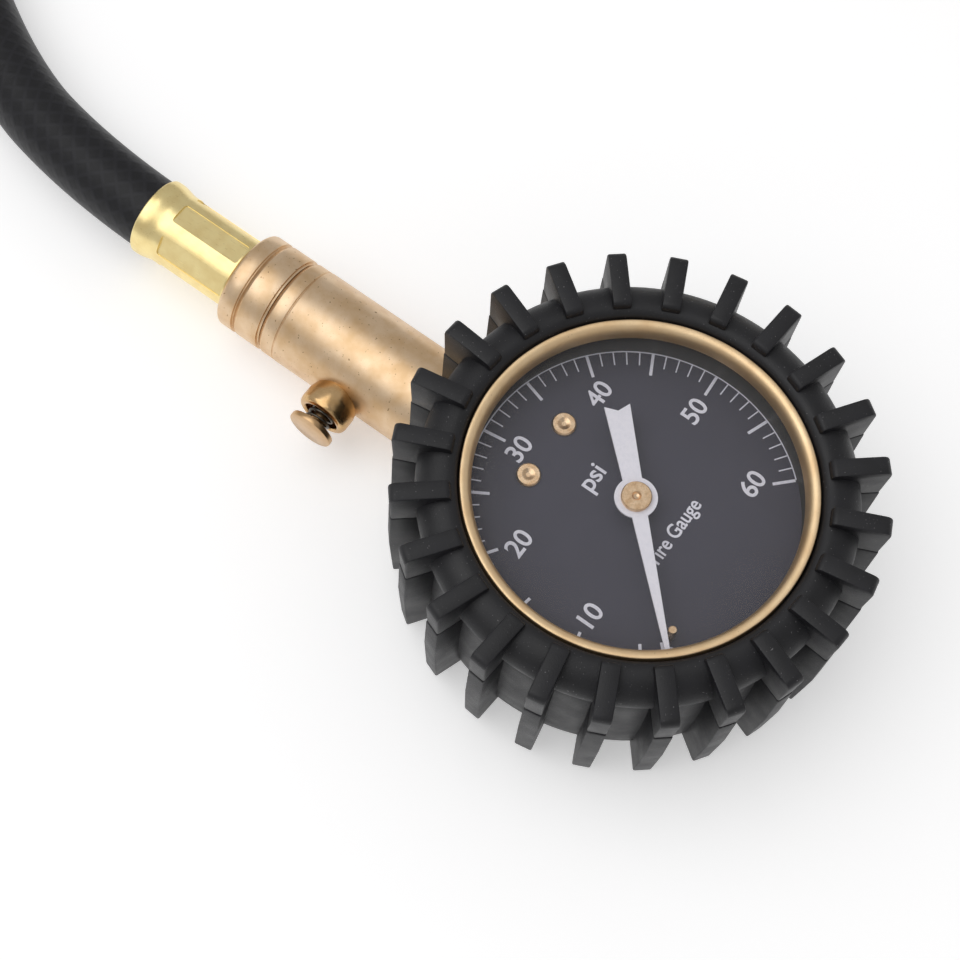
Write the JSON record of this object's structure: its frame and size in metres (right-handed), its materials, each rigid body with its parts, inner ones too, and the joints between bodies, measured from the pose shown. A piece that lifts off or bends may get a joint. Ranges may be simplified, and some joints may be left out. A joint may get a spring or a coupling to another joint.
{
  "type": "tire pressure gauge",
  "caption": "Dial tire pressure gauge in a ribbed rubber guard, with a brass stem, a side bleeder button, a short swivelling hose and an angled air chuck.",
  "frame": {"origin": "on the dial's axis, at the flat back of the guard, which rests on the table", "axes": "+Z out of the dial, +Y along the stem and towards the dial's 12 o'clock point, +X to the dial's 3 o'clock side"},
  "size_m": [0.1951, 0.2208, 0.0331],
  "materials": {
    "guard_rubber": "matte moulded",
    "seal_rubber": "matte",
    "hose_rubber": "matte, faint braid",
    "case_steel": "matte black",
    "bezel_brass": "satin",
    "body_brass": "satin cast",
    "ferrule_brass": "bright drawn",
    "yellow_brass": "turned",
    "tube_bronze": "drawn",
    "clear_window": "clear",
    "dial_paint": "satin dark, printed scale",
    "pointer_paint": "satin white",
    "fastener_steel": "turned",
    "spring_steel": "drawn wire"
  },
  "bodies": {
    "gauge": {"guard_front": "guard_rubber", "guard_back": "guard_rubber", "case": "case_steel", "case_screws": "fastener_steel", "bezel_ring": "bezel_brass", "window": "clear_window", "window_gasket": "seal_rubber", "dial_plate": "dial_paint", "dial_screws": "yellow_brass", "dial_posts": "yellow_brass", "stop_pin": "yellow_brass", "movement_back_plate": "yellow_brass", "movement_front_plate": "yellow_brass", "movement_pillars": "yellow_brass", "movement_screws": "fastener_steel", "hairspring": "spring_steel", "bourdon_tube": "tube_bronze", "tube_end_cap": "yellow_brass", "link_pin_tube": "fastener_steel", "socket_block": "body_brass", "valve_body": "body_brass", "hold_valve_seat": "seal_rubber", "hold_valve_spring": "spring_steel", "bleeder_cup": "body_brass", "bleeder_spring": "spring_steel"},
    "needle": {"pinion_arbor": "fastener_steel", "pointer": "pointer_paint", "pointer_hub": "yellow_brass"},
    "sector": {"sector_gear": "yellow_brass", "sector_arbor": "fastener_steel", "link_pin_sector": "fastener_steel"},
    "link_bar": {"link": "yellow_brass"},
    "bleeder": {"bleeder_button": "body_brass", "bleeder_seal": "seal_rubber"},
    "hold_valve": {"hold_valve_poppet": "yellow_brass"},
    "hose_end": {"swivel_collar": "body_brass", "swivel_o_rings": "seal_rubber", "swivel_clip": "spring_steel", "hose_nipple": "body_brass", "ferrule_gauge_end": "ferrule_brass", "hose": "hose_rubber", "ferrule_chuck_end": "ferrule_brass", "chuck_nipple": "body_brass"},
    "air_chuck": {"chuck_body": "body_brass", "chuck_o_ring": "seal_rubber", "chuck_cap": "body_brass", "chuck_seal": "seal_rubber", "depressor_pin": "body_brass"}
  },
  "joints": [
    {"name": "sector_turn", "type": "hinge", "parent": "gauge", "child": "sector", "pos_m": [-0.01379, 0.00243, 0.016], "axis": [0, 0, 1], "range_deg": [0, 45]},
    {"name": "pointer_turn", "type": "hinge", "parent": "gauge", "child": "needle", "pos_m": [0, 0, 0.022], "axis": [0, 0, -1], "range_deg": [0, 270]},
    {"name": "link_turn", "type": "hinge", "parent": "sector", "child": "link_bar", "pos_m": [-0.01711, 0.00381, 0.0153], "axis": [0, 0, 1], "range_deg": [-45, 0]},
    {"name": "bleeder_push", "type": "slide", "parent": "gauge", "child": "bleeder", "axis": [1, 0, 0], "range_m": [0, 0.0018], "stiffness_N_per_m": 900, "springref_m": -0.0008, "deforming": ["bleeder_spring"]},
    {"name": "hold_valve_lift", "type": "slide", "parent": "gauge", "child": "hold_valve", "axis": [0, -1, 0], "range_m": [0, 0.0008], "stiffness_N_per_m": 200, "springref_m": -0.0008, "deforming": ["hold_valve_spring"]},
    {"name": "hose_swivel", "type": "hinge", "parent": "gauge", "child": "hose_end", "pos_m": [0, 0.0641, 0.0092], "axis": [0, 1, 0], "continuous": true},
    {"name": "chuck_swivel", "type": "hinge", "parent": "hose_end", "child": "air_chuck", "pos_m": [0.151, 0.04, 0.0085], "axis": [0, 1, 0], "continuous": true}
  ],
  "couplings": [
    {"joint": "pointer_turn", "follows": "sector_turn", "ratio": 6},
    {"joint": "link_turn", "follows": "sector_turn", "ratio": -1}
  ]
}
